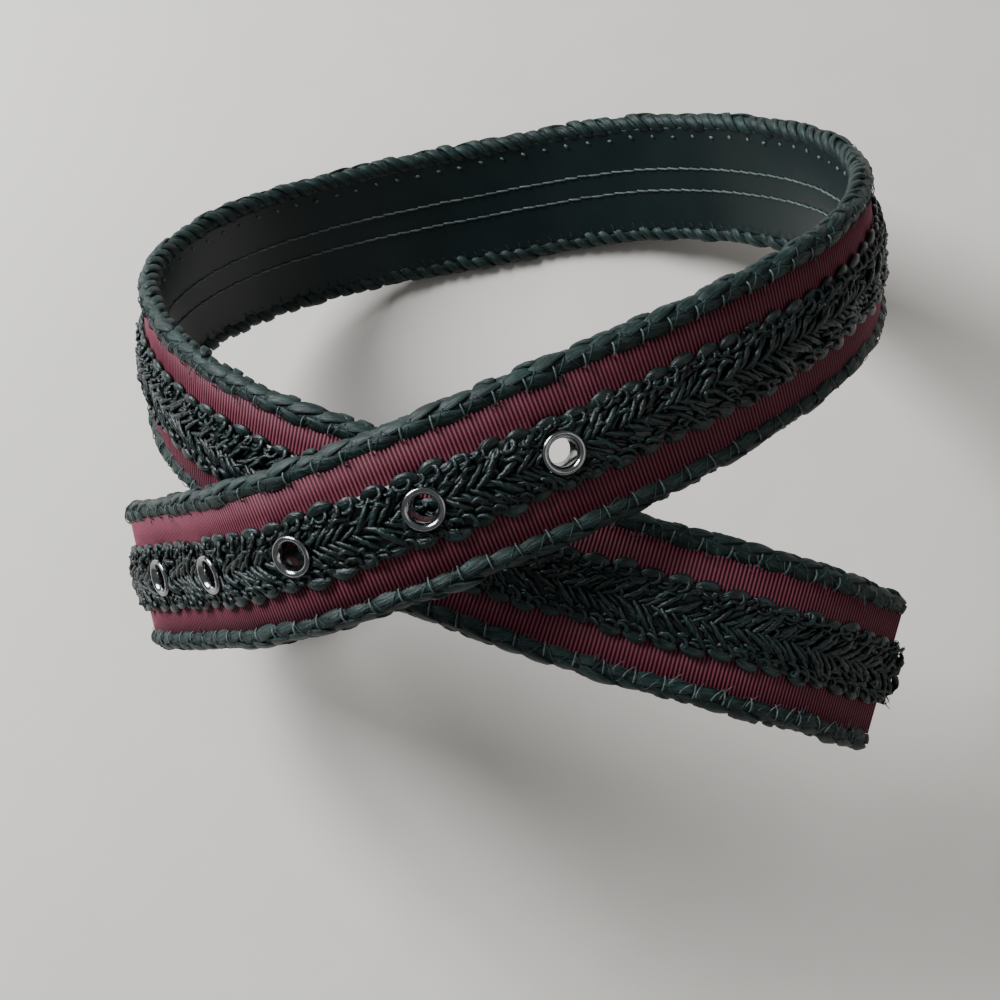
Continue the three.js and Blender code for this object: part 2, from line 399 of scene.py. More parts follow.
# %% [markdown]
# ## One strand of cord
#
# Every trim here is made of short strands: thick in the middle, thinner where they dive under
# their neighbours. A strand is a tube swept along a few points, with a ring of points at each. Its
# yarn attribute holds the place along and around the strand, turned with the twist, so that a
# material can draw the fibres the way they really run. A motif is a few strands in one mesh.

# %% The strand
motifs = []


def unit(vectors):
    return vectors / np.linalg.norm(vectors, axis=-1, keepdims=True)


def strand(path, outward, widths, heights, sides=8, lobes=0, depth=0.0, twist=0.0):
    """Points, faces and yarn places of a closed tube; depth is the share that its lobes stand out."""
    path, outward = np.array(path, float), np.array(outward, float)
    count = len(path)
    widths, heights = np.zeros(count) + widths, np.zeros(count) + heights
    tangent = unit(np.gradient(path, axis=0))
    side = unit(np.cross(outward, tangent))
    up = np.cross(tangent, side)
    steps = np.linalg.norm(np.diff(path, axis=0), axis=1)
    run = np.concatenate([[0], np.cumsum(steps)])
    angle = np.arange(sides) * 2 * np.pi / sides
    turned = angle[None] - 2 * np.pi * twist * run[:, None]
    lobed = (1 + depth * np.cos(lobes * turned))[:, :, None]
    across = np.cos(angle)[None, :, None] * side[:, None] * widths[:, None, None] / 2
    upward = np.sin(angle)[None, :, None] * up[:, None] * heights[:, None, None] / 2
    rings = path[:, None] + lobed * (across + upward)
    faces = []
    for i in range(count - 1):
        for j in range(sides):
            a, b = i * sides + j, i * sides + (j + 1) % sides
            faces.append((a, b, b + sides, a + sides))
    start, end = count * sides, count * sides + 1
    for j in range(sides):
        k = (j + 1) % sides
        faces.append((start, k, j))
        faces.append((end, (count - 1) * sides + j, (count - 1) * sides + k))
    radius = float(np.mean(widths)) / 2
    yarn = np.stack([
        np.repeat(run[:, None], sides, axis=1),
        radius * np.cos(turned),
        radius * np.sin(turned),
    ], axis=-1).reshape(-1, 3)
    yarn = np.vstack([yarn, [run[0], 0, 0], [run[-1], 0, 0]])
    return np.vstack([rings.reshape(-1, 3), path[:1], path[-1:]]), faces, yarn


def join(name, *strands):
    """One hidden object from a few strands, for the row tree to repeat."""
    vertices, faces, yarns = [], [], []
    for points, tube_faces, yarn in strands:
        faces += [tuple(len(vertices) + v for v in face) for face in tube_faces]
        vertices += [tuple(p) for p in points]
        yarns.append(yarn + (0, 0.004 * len(yarns), 0))
    mesh = bpy.data.meshes.new(name)
    mesh.from_pydata(vertices, [], faces)
    attribute = mesh.attributes.new("yarn", "FLOAT_VECTOR", "POINT")
    attribute.data.foreach_set("vector", np.vstack(yarns).astype(np.float32).ravel())
    motif = bpy.data.objects.new(name, mesh)
    scene.collection.objects.link(motif)
    motif.hide_render = True
    motifs.append(motif)
    return motif


def flat_strand(x, y, z, widths, heights, facing=1.0, sides=8, lobes=3, depth=0.15, twist=330.0):
    """A strand that lies on the belt; facing is 1 on the outer face and -1 on the leather."""
    path = np.column_stack([x, y, z])
    outward = np.tile([0, 0, facing], (len(path), 1))
    return strand(path, outward, widths, heights, sides, lobes, depth, twist)


def swelling(steps, least):
    """A share of full thickness along a strand: least at both ends and 1 in the middle."""
    return least + (1 - least) * np.sin(np.linspace(0, np.pi, steps)) ** 0.6


# %% [markdown]
# ## A row of strands
#
# The braid, the laces of the edging and all the stitches are the same strand over and over. One
# tree places any of them: a line of points at the stitch's pitch, an instance on each, and a
# little hand-made unevenness in turn, size and place from a fixed seed. What would stand past the
# cut ends of the belt is pushed back to them, and only frayed threads may overrun. The edging's
# rows are also drawn in towards their middle there, so that its ends are rounded.

# %% The tree for rows
ROUNDED_END = 1.8 * MM
row = Trim("row_on_belt", {
    "Guide": "Object", "Motif": "Object", "Material": "Material", "Count": "Int", "Seed": "Int",
    "First": "Float", "Pitch": "Float", "Pitch across": "Float", "Across": "Float",
    "Level": "Float", "Uneven turn": "Float", "Uneven size": "Float", "Uneven place": "Float",
    "Overrun": "Float", "Rounded": "Float",
})


def uneven(trim, amount, offset):
    """A random number from -amount to amount for each point of the row."""
    inputs = {2: amount * -1, 3: amount, "Seed": trim["Seed"] + float(offset)}
    return trim.add("FunctionNodeRandomValue", {"data_type": "FLOAT"}, inputs, 1)


line = row.add(
    "GeometryNodeMeshLine",
    None,
    {
        "Count": row["Count"],
        "Start Location": row.vector(row["First"], row["Across"], row["Level"]),
        "Offset": row.vector(row["Pitch"], row["Pitch across"], 0.0),
    },
)
wander = row.vector(*(uneven(row, row["Uneven place"], axis) for axis in (1, 2, 3)))
line = row.place(line, row.here() + wander)
shade = {2: 0.0, 3: 1.0, "Seed": row["Seed"]}
shade = row.add("FunctionNodeRandomValue", {"data_type": "FLOAT"}, shade, 1)
line = row.keep(line, "shade", shade)
motif = row.add("GeometryNodeObjectInfo", None, {"Object": row["Motif"]}, "Geometry")
size = uneven(row, row["Uneven size"], 4) + 1
placed = row.add(
    "GeometryNodeInstanceOnPoints",
    None,
    {
        "Points": line,
        "Instance": motif,
        "Rotation": row.vector(0.0, 0.0, uneven(row, row["Uneven turn"], 5)),
        "Scale": row.vector(size, size, size),
    },
)
placed = row.add("GeometryNodeRealizeInstances", None, {"Geometry": placed})
placed = row.add("GeometryNodeSetShadeSmooth", None, {"Geometry": placed})
x, y, z = row.parts(row.here())
cut = x.maths("MAXIMUM", row["Overrun"] * -1).maths("MINIMUM", row["Overrun"] + BELT_LENGTH)
from_end = cut.maths("MINIMUM", cut * -1 + BELT_LENGTH) / ROUNDED_END
past_round = 1 - from_end.maths("MINIMUM", 1.0)
drawn_in = (1 - past_round * past_round).maths("SQRT")
kept = 1 - row["Rounded"] * (1 - drawn_in)
y = row["Across"] + (y - row["Across"]) * kept
z = row["Level"] + (z - row["Level"]) * kept
placed = row.place(placed, row.vector(cut, y, z))
row.finish(make_room(row, placed))
print("row tree", len(row.tree.nodes), "nodes")

# %% [markdown]
# ## A layer of the belt
#
# Leather and ribbon are long flat strips with five holes. A grid with its hole cells deleted,
# pulled up to the strip's thickness, gives the walls of the holes too. The ribbon's ribs are a
# wave on its upper side, and the wave's height goes on as an attribute, so that the material can
# paint a highlight on the ridges and shade in the grooves. The same tree makes the ground under the
# braid.

# %% The tree for layers
layer = Trim("layer_on_belt", {
    "Guide": "Object", "Material": "Material", "Length": "Float", "Width": "Float",
    "Thickness": "Float", "Foot": "Float", "Columns": "Int", "Rows": "Int",
    "Rib pitch": "Float", "Rib height": "Float",
})
sheet = layer.add(
    "GeometryNodeMeshGrid",
    None,
    {
        "Size X": layer["Length"],
        "Size Y": layer["Width"],
        "Vertices X": layer["Rows"],
        "Vertices Y": layer["Columns"],
    },
)
middle_of_belt = layer.vector(BELT_LENGTH / 2, 0.0, layer["Foot"])
sheet = layer.place(sheet, layer.here() + middle_of_belt)
inside = eyelet_distance(layer).maths("LESS_THAN", LAYER_HOLE_RADIUS)
sheet = layer.add(
    "GeometryNodeDeleteGeometry", {"domain": "POINT"}, {"Geometry": sheet, "Selection": inside}
)
raised = layer.add(
    "GeometryNodeExtrudeMesh",
    {"mode": "FACES"},
    {"Mesh": sheet, "Offset Scale": layer["Thickness"], "Individual": False},
)
under = layer.add("GeometryNodeFlipFaces", None, {"Mesh": sheet})
both = layer.add("GeometryNodeJoinGeometry", None, {"Geometry": raised})
layer.tree.links.new(under.socket, both.socket.node.inputs["Geometry"])
inputs = {"Geometry": both, "Distance": 0.01 * MM}
closed = layer.add("GeometryNodeMergeByDistance", None, inputs)
x, y, z = layer.parts(layer.here())
phase = (x / layer["Rib pitch"] * (2 * math.pi)).cosine() * 0.5 + 0.5
is_top = z.maths("GREATER_THAN", layer["Foot"] + layer["Thickness"] * 0.5)
# The rib phase is kept for the ribbon's material, which paints a highlight on the ridges and shade in
# the grooves.
closed = layer.keep(closed, "rib", phase * is_top)
sunk = layer["Rib height"] * (1 - phase) * is_top
closed = layer.place(closed, layer.vector(x, y, z - sunk))
tilt = layer.parts(layer.add("GeometryNodeInputNormal"))[2].maths("ABSOLUTE")
smooth = {"Geometry": closed, "Selection": tilt.maths("GREATER_THAN", 0.5)}
layer.finish(layer.add("GeometryNodeSetShadeSmooth", None, smooth))
print("layer tree", len(layer.tree.nodes), "nodes")

# %% [markdown]
# ## Finishes
#
# Each finish is a small formula. The cords are dark rayon: nearly black, glossy, with fine fibres
# that follow the twist. The ribbon is silky, with a painted highlight on its ridges and painted
# shade in its grooves. The leather is smooth and only a little grained. All read an attribute or
# Object coordinates, so that the patterns stay put from any side.


# %% A material as a tree
class Finish(Nodes):
    """A material, its pattern helpers and its Principled shader."""

    def __init__(self, name):
        self.material = bpy.data.materials.new(name)
        self.material.use_nodes = True
        super().__init__(self.material.node_tree)
        self.tree.nodes.clear()

    def attribute(self, name, output="Fac"):
        return self.add("ShaderNodeAttribute", {"attribute_name": name}, None, output)

    def object_place(self):
        return self.add("ShaderNodeTexCoord", None, None, "Object")

    def noise(self, vector, scale, detail=2.0, roughness=0.5):
        inputs = {"Vector": vector, "Scale": scale, "Detail": detail, "Roughness": roughness}
        return self.add("ShaderNodeTexNoise", None, inputs)

    def mix(self, share, low, high):
        inputs = {0: share, 6: low, 7: high}
        return self.add("ShaderNodeMix", {"data_type": "RGBA"}, inputs, 2)

    def surface(self, colour, roughness, height, distance, **constants):
        """Closes the tree: height feeds a Bump node, and constants sit on the shader's sockets."""
        bump = self.add("ShaderNodeBump", None, {"Height": height, "Distance": distance})
        inputs = {"Base Color": colour, "Roughness": roughness, "Normal": bump}
        inputs.update({name.replace("_", " "): value for name, value in constants.items()})
        shader = self.add("ShaderNodeBsdfPrincipled", None, inputs)
        self.add("ShaderNodeOutputMaterial", None, {"Surface": shader})
        return self.material


def rgb(red, green, blue):
    return (red, green, blue, 1.0)


# %% Dark cord, for the braid and the edging
def cord_finish(name, dark, light, fibre_scale, roughness, shine):
    """A material with fibres along the strand, from its dark to its light colour."""
    finish = Finish(name)
    yarn = finish.attribute("yarn", "Vector")
    shade = finish.attribute("shade")
    stretched = yarn * (0.16, 1.0, 1.0) + finish.vector(shade, shade, 0.0)
    fibres = finish.noise(stretched, fibre_scale, 3.0, 0.6)
    patches = finish.noise(finish.object_place(), 160.0)
    share = fibres.between(0.38, 0.72) * (patches * 0.6 + 0.3) + (shade - 0.5) * 0.2
    colour = finish.mix(share, dark, light)
    rough = (1 - fibres) * 0.25 + roughness
    return finish.surface(colour, rough, fibres, 0.2 * MM, Specular_IOR_Level=shine)


braid_cord = cord_finish(
    "braid_cord", rgb(0.0008, 0.0026, 0.0027), rgb(0.018, 0.048, 0.047), 3400.0, 0.22, 0.42
)
edging_cord = cord_finish(
    "edging_cord", rgb(0.0030, 0.0085, 0.0080), rgb(0.026, 0.064, 0.058), 3400.0, 0.38, 0.3
)
light_thread = cord_finish(
    "light_thread", rgb(0.050, 0.070, 0.070), rgb(0.190, 0.240, 0.230), 5200.0, 0.5, 0.3
)
dull_thread = cord_finish(
    "dull_thread", rgb(0.015, 0.030, 0.029), rgb(0.060, 0.105, 0.098), 5200.0, 0.5, 0.3
)

# %% Ribbon
RIB_PITCH = 0.774 * MM

finish = Finish("grosgrain")
rib = finish.attribute("rib")
place_on_ribbon = finish.object_place()
silk = finish.noise(place_on_ribbon, 5200.0, 2.0)
worn = finish.noise(place_on_ribbon, 75.0, 3.0)
# Painted highlight and painted shade: the rib phase blends a light ridge colour, a painted highlight,
# with a dark groove colour, painted shade; worn varies the ridge colour at random.
lit_ridge = finish.mix(worn, rgb(0.150, 0.032, 0.052), rgb(0.230, 0.066, 0.094))
shaded_groove = rgb(0.036, 0.0008, 0.0055)
colour = finish.mix(rib.between(0.25, 0.95), shaded_groove, lit_ridge)
rough = 0.66 - silk * 0.16
grosgrain = finish.surface(
    colour, rough, silk, 0.08 * MM, Specular_IOR_Level=0.18,
    Sheen_Weight=0.18, Sheen_Roughness=0.3, Sheen_Tint=rgb(0.95, 0.40, 0.55),
)

# %% Leather
finish = Finish("leather")
place_on_leather = finish.object_place()
grain = finish.noise(place_on_leather, 1900.0, 3.0, 0.55)
cloud = finish.noise(place_on_leather, 45.0, 3.0)
colour = finish.mix(cloud, rgb(0.0032, 0.0074, 0.0078), rgb(0.0100, 0.0185, 0.0185))
rough = cloud * 0.18 + 0.26
leather = finish.surface(colour, rough, grain, 0.04 * MM, Specular_IOR_Level=0.32)

# %% Nickel
finish = Finish("dark_nickel")
scuff = finish.noise(finish.object_place(), 900.0, 4.0, 0.6)
colour = finish.mix(scuff, rgb(0.120, 0.128, 0.130), rgb(0.400, 0.405, 0.410))
dark_nickel = finish.surface(colour, scuff * 0.16 + 0.08, scuff, 0.02 * MM, Metallic=1.0)

# %% [markdown]
# ## Leather and ribbon
#
# The leather carries everything, so it comes first. The ribbon lies on its outer face and stops
# under the edgings.

# %% Make the two layers
def set_down(piece, slot, *nodes):
    """Hands a finished piece to the frame."""
    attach(piece, "root")
    if nodes:
        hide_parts(*nodes)
    return piece


CELL = 1.0 * MM
THIN_RIBBON = 0.7 * MM
FACE = RIBBON_FOOT + THIN_RIBBON
layer_length = BELT_LENGTH - 2 * END_SET_BACK
strap = layer.make(
    "leather_strap", guide=guide, material=leather, length=layer_length,
    width=2 * (STRAP_HALF_WIDTH + STRAP_TUCK), thickness=STRAP_THICKNESS, foot=-STRAP_TOP,
    columns=int(2 * (STRAP_HALF_WIDTH + STRAP_TUCK) / CELL) + 1, rows=int(layer_length / CELL) + 1,
    rib_pitch=1.0, rib_height=0.0,
)
set_down(strap, "leather", "strap")
SAMPLES_PER_RIB = 4
ribbon = layer.make(
    "ribbed_ribbon", guide=guide, material=grosgrain, length=layer_length,
    width=2 * (STRAP_HALF_WIDTH + RIBBON_TUCK), thickness=THIN_RIBBON, foot=RIBBON_FOOT,
    columns=7, rows=int(layer_length / RIB_PITCH * SAMPLES_PER_RIB) + 1,
    rib_pitch=RIB_PITCH, rib_height=0.24 * MM,
)
set_down(ribbon, "grosgrain", "ribbon")

# %% [markdown]
# ## The centre braid
#
# Seen flat, the braid is a herringbone of thin glossy cords whose points look towards the tip of
# the belt. Curly loops run along both of its borders, and a smooth lobe stands out every few
# millimetres. It could be one cord woven over and under itself, but the crossings are hidden, so
# rows of limbs with dipping ends look the same and stay light. Loose loops break the order, as a
# hand's pull does.


# %% Herringbone limbs
LIMB_PITCH = 5.3 / 3 * MM
LIMB_SLANT = math.radians(38)
LIMB_LENGTH = 6.2 * MM
CORD = 1.0 * MM
GROUND_WIDTH = 12 * MM
GROUND_THICKNESS = 1.0 * MM
GROUND_SINK = 0.15 * MM


def limb(name, turned_up, rise, steps, sides):
    """A cord of two twisted plies, from the middle of the braid outwards, dipping at both ends."""
    t = np.linspace(0, 1, steps)
    x = LIMB_LENGTH * math.cos(LIMB_SLANT) * t
    y = LIMB_LENGTH * math.sin(LIMB_SLANT) * t - 0.6 * MM
    z = rise * np.sin(np.pi * t) ** 0.7
    thick = CORD * swelling(steps, 0.5)
    cord = flat_strand(x, turned_up * y, z, thick, thick, sides=sides, lobes=2, depth=0.22, twist=300.0)
    return join(name, cord)


band = layer.make(
    "braid_ground", guide=guide, material=braid_cord, length=BELT_LENGTH,
    width=GROUND_WIDTH, thickness=GROUND_THICKNESS, foot=FACE - GROUND_SINK,
    columns=10, rows=int(BELT_LENGTH / CELL) + 1, rib_pitch=1.9 * MM, rib_height=0.3 * MM,
)
set_down(band, "braid_cord", "centre_braid")
LIMB_LAYERS = [
    # name, turned up, seed, start, across, level, steps, sides
    ("upper", 1, 11, -4.0 * MM, 0.0, 0.85 * MM, 11, 7),
    ("lower", -1, 12, -4.0 * MM + LIMB_PITCH / 2, 0.0, 0.85 * MM, 11, 7),
    ("upper_under", 1, 13, -4.0 * MM + LIMB_PITCH / 2, 1.3 * MM, 0.25 * MM, 8, 5),
    ("lower_under", -1, 14, -4.0 * MM, 1.3 * MM, 0.25 * MM, 8, 5),
]
for name, turned_up, seed, start, across, level, steps, sides in LIMB_LAYERS:
    limbs = row.make(
        "braid_limbs_" + name, guide=guide, material=braid_cord,
        motif=limb("limb_" + name, turned_up, 0.95 * MM, steps, sides),
        count=int(BELT_LENGTH / LIMB_PITCH) + 3, seed=seed, first=start, pitch=LIMB_PITCH,
        across=turned_up * across, level=FACE + level,
        uneven_turn=0.28, uneven_size=0.2, uneven_place=0.3 * MM,
    )
    set_down(limbs, "braid_cord")


# %% Curls and lobes along the borders, and loose loops
CURL_PITCH = 2.65 * MM
LOBE_PITCH = 5.3 * MM
LOOP_PITCH = 4.1 * MM
CURL_CORD = 0.78 * MM
LOOP_CORD = 0.8 * MM


def curl(name, turned_up):
    """One loop of the curly cord that closes a border."""
    t = np.linspace(-0.15, 1.15, 13)
    x = CURL_PITCH * t + 0.8 * MM * np.sin(2 * np.pi * t)
    y = turned_up * 0.9 * MM * -np.cos(2 * np.pi * t)
    z = 0.5 * MM * np.sin(2 * np.pi * t + 0.6)
    return join(name, flat_strand(x, y, z, CURL_CORD, CURL_CORD, sides=7, lobes=2, depth=0.2))


def lobe(name, turned_up):
    """A smooth flat lobe of the scalloped border."""
    steps = 9
    t = np.linspace(0, 1, steps)
    y = turned_up * (0.75 * np.sin(np.pi * t) + 0.5 * (t - 0.5)) * MM
    thick = swelling(steps, 0.3)
    shape = flat_strand(
        5.0 * MM * t, y, 0.3 * MM * np.sin(np.pi * t), 2.3 * MM * thick, 1.15 * MM * thick,
        sides=12, lobes=4, depth=-0.07, twist=0.0,
    )
    return join(name, shape)


def loose_loop(name):
    """A short arc of cord that stands over its neighbours."""
    t = np.linspace(0, 1, 8)
    y = 0.9 * MM * np.sin(np.pi * t)
    z = 0.8 * MM * np.sin(np.pi * t) - 0.3 * MM
    loop = flat_strand(2.8 * MM * t, y, z, LOOP_CORD, LOOP_CORD, sides=7, lobes=2, depth=0.2)
    return join(name, loop)


for side_name, turned_up, seed in (("upper", 1, 21), ("lower", -1, 22)):
    curls = row.make(
        "braid_curls_" + side_name, guide=guide, motif=curl("curl_" + side_name, turned_up),
        material=braid_cord, count=int(BELT_LENGTH / CURL_PITCH), seed=seed,
        first=0.3 * MM, pitch=CURL_PITCH, across=turned_up * 4.9 * MM, level=FACE + 1.15 * MM,
        uneven_turn=0.5, uneven_size=0.2, uneven_place=0.35 * MM,
    )
    set_down(curls, "braid_cord")
    lobes = row.make(
        "braid_lobes_" + side_name, guide=guide, motif=lobe("lobe_" + side_name, turned_up),
        material=braid_cord, count=int(BELT_LENGTH / LOBE_PITCH), seed=seed + 10,
        first=0.6 * MM, pitch=LOBE_PITCH, across=turned_up * 5.4 * MM, level=FACE + 0.5 * MM,
        uneven_turn=0.15, uneven_size=0.1, uneven_place=0.25 * MM,
    )
    set_down(lobes, "braid_cord")
    loops = row.make(
        "braid_loose_loops_" + side_name, guide=guide, motif=loose_loop("loop_" + side_name),
        material=braid_cord, count=int(BELT_LENGTH / LOOP_PITCH), seed=seed + 20,
        first=1.0 * MM, pitch=LOOP_PITCH, across=turned_up * 2.4 * MM, level=FACE + 1.4 * MM,
        uneven_turn=1.1, uneven_size=0.2, uneven_place=0.6 * MM,
    )
    set_down(loops, "braid_cord")

# %% [markdown]
# ## The edging
#
# A flat plait is folded over each edge of the belt. From the front its cords look like two rows
# of leaves that lean against each other, and from the back like slanted wraps. The leaves are
# strands again, but their paths run round the edge, so each is bent over it before the row tree
# repeats it.

# %% Paths round the edge
EDGING_LEVEL = 0.55 * MM
CORE_ACROSS = 1.45 * MM
CORE_UP = 1.35 * MM
LEAF_PITCH = 5.58 * MM


def round_edge(lengths, degrees, height, turned_up):
    """Points and outward directions round the core; 0 degrees faces out, 90 is the very edge."""
    angle = np.radians(degrees)
    y = turned_up * np.sin(angle)
    outward = np.column_stack([np.zeros(len(angle)), y, np.cos(angle)])
    across = y * (CORE_ACROSS + height)
    return np.column_stack([lengths, across, np.cos(angle) * (CORE_UP + height)]), outward


def leaf(name, turned_up, length, angles, width, height, dip):
    """A flat leaf of the plait that comes up from under a neighbour and goes down under the next."""
    steps = 10
    t = np.linspace(0, 1, steps)
    above = height / 2 - dip * (1 - np.sin(np.pi * t) ** 0.6)
    degrees = angles[0] + (angles[1] - angles[0]) * t
    path, outward = round_edge(length * t, degrees, above, turned_up)
    thick = swelling(steps, 0.5)
    shape = strand(path, outward, width * thick, height * thick, sides=10, lobes=4, depth=-0.09)
    return join(name, shape)


# %% Core, leaves and wraps of both edgings
def core(name, turned_up):
    """The core that the plait is folded over, rounded at both ends."""
    steps = int(BELT_LENGTH / (1.5 * MM))
    x = np.linspace(0.4 * MM, BELT_LENGTH - 0.4 * MM, steps)
    from_end = np.minimum(x, BELT_LENGTH - x) / ROUNDED_END
    thick = np.sqrt(1 - (1 - np.minimum(from_end, 1)) ** 2)
    y = np.full(steps, turned_up * EDGING_MIDDLE)
    z = np.full(steps, EDGING_LEVEL)
    widths = (2 * CORE_ACROSS + 0.5 * MM) * thick
    heights = (2 * CORE_UP + 0.5 * MM) * thick
    return join(name, flat_strand(x, y, z, widths, heights, sides=12, lobes=0, twist=0.0))


EDGING_ROWS = [
    # name, pitch, start, length, angle from, angle to, width, height, dip
    ("outer_leaves", 1.0, -0.6, 7.4 * MM, 24, 76, 2.6 * MM, 0.8 * MM, 0.45 * MM),
    ("inner_leaves", 1.0, -0.9, 6.5 * MM, -8, -36, 2.8 * MM, 0.85 * MM, 0.5 * MM),
    ("edge_wraps", 2 / 3, -1.0, 6.0 * MM, 62, 240, 2.4 * MM, 1.2 * MM, 0.5 * MM),
]
whole = Trim("whole_on_belt", {"Guide": "Object", "Motif": "Object", "Material": "Material"})
shape = whole.add("GeometryNodeObjectInfo", None, {"Object": whole["Motif"]}, "Geometry")
whole.finish(whole.add("GeometryNodeSetShadeSmooth", None, {"Geometry": shape}))
for side_name, turned_up in (("upper", 1), ("lower", -1)):
    inside = whole.make(
        "edging_core_" + side_name, guide=guide, motif=core("core_" + side_name, turned_up),
        material=edging_cord,
    )
    set_down(inside, "edging_cord", "edge_" + side_name)
    for number, line in enumerate(EDGING_ROWS):
        name, pitch, start, length, angle_from, angle_to, width, height, dip = line
        angles = (angle_from, angle_to)
        if name.endswith("wraps") and turned_up > 0:
            angles = (angle_to, angle_from)
        motif = leaf(name + "_" + side_name, turned_up, length, angles, width, height, dip)
        step = LEAF_PITCH * pitch
        leaves = row.make(
            "edging_" + name + "_" + side_name, guide=guide, motif=motif, material=edging_cord,
            count=int(BELT_LENGTH / step) + 2, seed=40 + number, first=start * step,
            pitch=step, across=turned_up * EDGING_MIDDLE, level=EDGING_LEVEL,
            uneven_turn=0.08, uneven_size=0.09, uneven_place=0.16 * MM, rounded=1.0,
        )
        set_down(leaves, "edging_cord")

# %% [markdown]
# ## Threads and stitches
#
# Thin light thread ties the plait down, with a small cross at every turn, and its other side shows
# on the leather as dots. Two lines of a thicker thread hold the braid and show as stitches in the
# middle of the leather. Where the thread was cut, short tails stand up.


# %% Ties, tails, dots and stitches
THREAD_TWIST = 800.0
TAIL_PITCH = 13.7 * MM
WORN_LENGTH = 62 * MM
TICK_PITCH = 2.79 * MM
STITCH_PITCH = 3 * MM


def tie(name, turned_up, length, angles, lift, size):
    """A thread pulled over the plait."""
    t = np.linspace(0, 1, 7)
    above = 1.0 * MM + lift - 0.5 * MM * (1 - np.sin(np.pi * t) ** 0.5)
    degrees = angles[0] + (angles[1] - angles[0]) * t
    path, outward = round_edge(length * t, degrees, above, turned_up)
    thread = strand(path, outward, size, size, sides=5, lobes=2, depth=0.15, twist=THREAD_TWIST)
    return join(name, thread)


def stitch(name, length, width, height, slant):
    """A stitch on the leather's inner face, which looks towards -z."""
    steps = 7
    t = np.linspace(0, 1, steps)
    z = -0.5 * height * np.sin(np.pi * t) ** 0.6
    thick = swelling(steps, 0.6)
    y = slant * (t - 0.5)
    shape = flat_strand(length * t, y, z, width * thick, height * thick, facing=-1.0, sides=7)
    return join(name, shape)


def tail(name, length, turned_up, facing):
    """A cut end of thread that curves up from the border of the edging."""
    t = np.linspace(0, 1, 6)
    x = 0.55 * length * t**2
    y = -turned_up * length * t
    z = facing * 0.4 * length * (t - 0.8 * t**2)
    thick = 0.24 * MM * (1 - 0.6 * t)
    thread = flat_strand(
        x, y, z, thick, thick, facing=facing, sides=6, lobes=2, depth=0.1, twist=THREAD_TWIST
    )
    return join(name, thread)


TIES = [
    # name, start, length, angle from, angle to, lift, thickness
    ("straight_ties", 0.9 * MM, 0.25 * MM, -62, 20, 0.22 * MM, 0.30 * MM),
    ("slanted_ties", 0.9 * MM, 2.9 * MM, -50, 46, 0.02 * MM, 0.15 * MM),
    ("crossed_ties", -1.9 * MM, 2.6 * MM, 42, -54, 0.0 * MM, 0.15 * MM),
]
for side_name, turned_up in (("upper", 1), ("lower", -1)):
    for number, (name, start, length, angle_from, angle_to, lift, size) in enumerate(TIES):
        motif = tie(name + "_" + side_name, turned_up, length, (angle_from, angle_to), lift, size)
        ties = row.make(
            "edging_" + name + "_" + side_name, guide=guide, motif=motif,
            material=light_thread if number == 0 else dull_thread,
            count=int(BELT_LENGTH / LEAF_PITCH), seed=60 + number, first=start,
            pitch=LEAF_PITCH, across=turned_up * EDGING_MIDDLE, level=EDGING_LEVEL,
            uneven_turn=0.12, uneven_size=0.03, uneven_place=0.1 * MM, rounded=1.0,
        )
        set_down(ties, "edging_cord")
    few_tails = row.make(
        "edging_tails_" + side_name, guide=guide, material=dull_thread,
        motif=tail("tail_" + side_name, 1.5 * MM, turned_up, 1.0),
        count=int(BELT_LENGTH / TAIL_PITCH), seed=66, first=4.0 * MM, pitch=TAIL_PITCH,
        across=turned_up * 12.7 * MM, level=FACE + 0.4 * MM,
        uneven_turn=0.8, uneven_size=0.45, uneven_place=0.6 * MM,
    )
    set_down(few_tails, "edging_cord")
    worn_tails = row.make(
        "worn_end_tails_" + side_name, guide=guide,
        material=light_thread if turned_up < 0 else dull_thread,
        motif=tail("worn_tail_" + side_name, 2.3 * MM, turned_up, 1.0),
        count=24, seed=67, first=BELT_LENGTH - WORN_LENGTH, pitch=2.5 * MM,
        across=turned_up * 13.9 * MM, level=FACE + 1.0 * MM,
        uneven_turn=0.35, uneven_size=0.4, uneven_place=0.8 * MM,
    )
    set_down(worn_tails, "edging_cord")

motif = stitch("dot", 0.9 * MM, 0.7 * MM, 0.5 * MM, 0.4 * MM)
dots = row.make(
    "thread_dots", guide=guide, motif=motif, material=light_thread,
    count=int(BELT_LENGTH / LEAF_PITCH) - 2, seed=70, first=3.0 * MM, pitch=LEAF_PITCH,
    across=10.9 * MM, level=-STRAP_TOP, uneven_turn=0.5, uneven_size=0.15,
    uneven_place=0.12 * MM,
)
set_down(dots, "leather")
ticks = row.make(
    "thread_ticks", guide=guide, motif=tail("tick", 1.2 * MM, -1, -1.0), material=dull_thread,
    count=int(BELT_LENGTH / TICK_PITCH) - 2, seed=71, first=3.0 * MM, pitch=TICK_PITCH,
    across=-12.3 * MM, level=-STRAP_TOP - 0.3 * MM, uneven_turn=0.5, uneven_size=0.3,
    uneven_place=0.2 * MM,
)
set_down(ticks, "leather")

for side_name, across in (("upper", 2.76 * MM), ("lower", -2.76 * MM)):
    motif = stitch("stitch_" + side_name, 3.2 * MM, 0.52 * MM, 0.46 * MM, 0.3 * MM)
    stitches = row.make(
        "leather_stitches_" + side_name, guide=guide, motif=motif, material=light_thread,
        count=int(BELT_LENGTH / STITCH_PITCH) - 1, seed=80, first=2.0 * MM, pitch=STITCH_PITCH,
        across=across, level=-STRAP_TOP, uneven_turn=0.03, uneven_size=0.04,
        uneven_place=0.05 * MM,
    )
    set_down(stitches, "leather")

